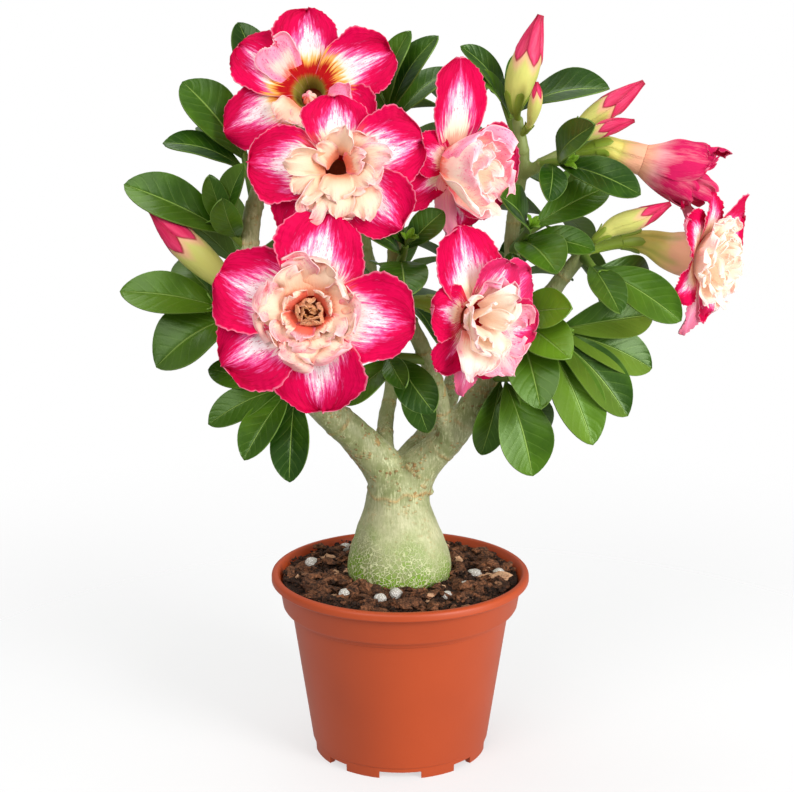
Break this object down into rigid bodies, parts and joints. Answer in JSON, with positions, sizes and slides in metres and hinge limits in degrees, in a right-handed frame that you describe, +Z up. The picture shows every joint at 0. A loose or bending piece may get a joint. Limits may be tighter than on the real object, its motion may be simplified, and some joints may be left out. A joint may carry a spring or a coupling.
{
  "type": "potted desert rose plant",
  "caption": "Desert rose (adenium) with a swollen trunk, forked branches, glossy leaves, double crimson and cream blooms and pointed buds, growing in a plain round terracotta plastic pot.",
  "frame": {"origin": "centre of the plant's bounding box in plan, on the surface that the pot stands on", "axes": "+Z up the plant; -Y is the side that most blooms face, and +X is to the right as seen from there"},
  "size_m": [0.276, 0.1934, 0.3412],
  "materials": {
    "pot": "satin terracotta plastic",
    "soil": "dark peat and bark mix",
    "perlite": "rough white grains",
    "bark": "grey-green bark with tan lenticels",
    "leaf": "glossy dark green with a pale midrib",
    "petal": "satin crimson with white flames",
    "inner_petal": "cream and peach, crinkled pink edge",
    "corolla_tube": "yellow-green, satin",
    "bud": "satin pink over a yellow-green base"
  },
  "bodies": {
    "root": {"bloom-1-neck": "corolla_tube", "bloom-1-petals": "petal", "bloom-1-ruffle": "inner_petal", "bloom-2-neck": "corolla_tube", "bloom-2-petals": "petal", "bloom-2-ruffle": "inner_petal", "bloom-3-neck": "corolla_tube", "bloom-3-petals": "petal", "bloom-3-ruffle": "inner_petal", "bloom-4-neck": "corolla_tube", "bloom-4-petals": "petal", "bloom-4-ruffle": "inner_petal", "bloom-5-neck": "corolla_tube", "bloom-5-petals": "petal", "bloom-5-ruffle": "inner_petal", "bloom-6-neck": "corolla_tube", "bloom-6-petals": "petal", "bloom-6-ruffle": "inner_petal", "bloom-7-neck": "corolla_tube", "bloom-7-petals": "petal", "bud-1": "bud", "bud-2": "bud", "bud-3": "bud", "bud-4": "bud", "bud-5": "bud", "bud-6": "bud", "perlite-1": "perlite", "perlite-2": "perlite", "perlite-3": "perlite", "perlite-4": "perlite", "perlite-5": "perlite", "perlite-6": "perlite", "perlite-7": "perlite", "perlite-8": "perlite", "perlite-9": "perlite", "pot": "pot", "shoot-back-left-high": "leaf", "shoot-back-left-in": "leaf", "shoot-back-left-side": "leaf", "shoot-back-right-high": "leaf", "shoot-back-right-in": "leaf", "shoot-back-right-side": "leaf", "shoot-left-crown": "leaf", "shoot-left-high": "leaf", "shoot-left-low": "leaf", "shoot-left-mid": "leaf", "shoot-left-tip": "leaf", "shoot-mid": "leaf", "shoot-mid-low": "leaf", "shoot-right-crown": "leaf", "shoot-right-front": "leaf", "shoot-right-in": "leaf", "shoot-right-low": "leaf", "shoot-right-mid": "leaf", "shoot-right-side": "leaf", "shoot-right-up": "leaf", "shoot-top": "leaf", "soil": "soil", "trunk": "bark"}
  },
  "joints": []
}
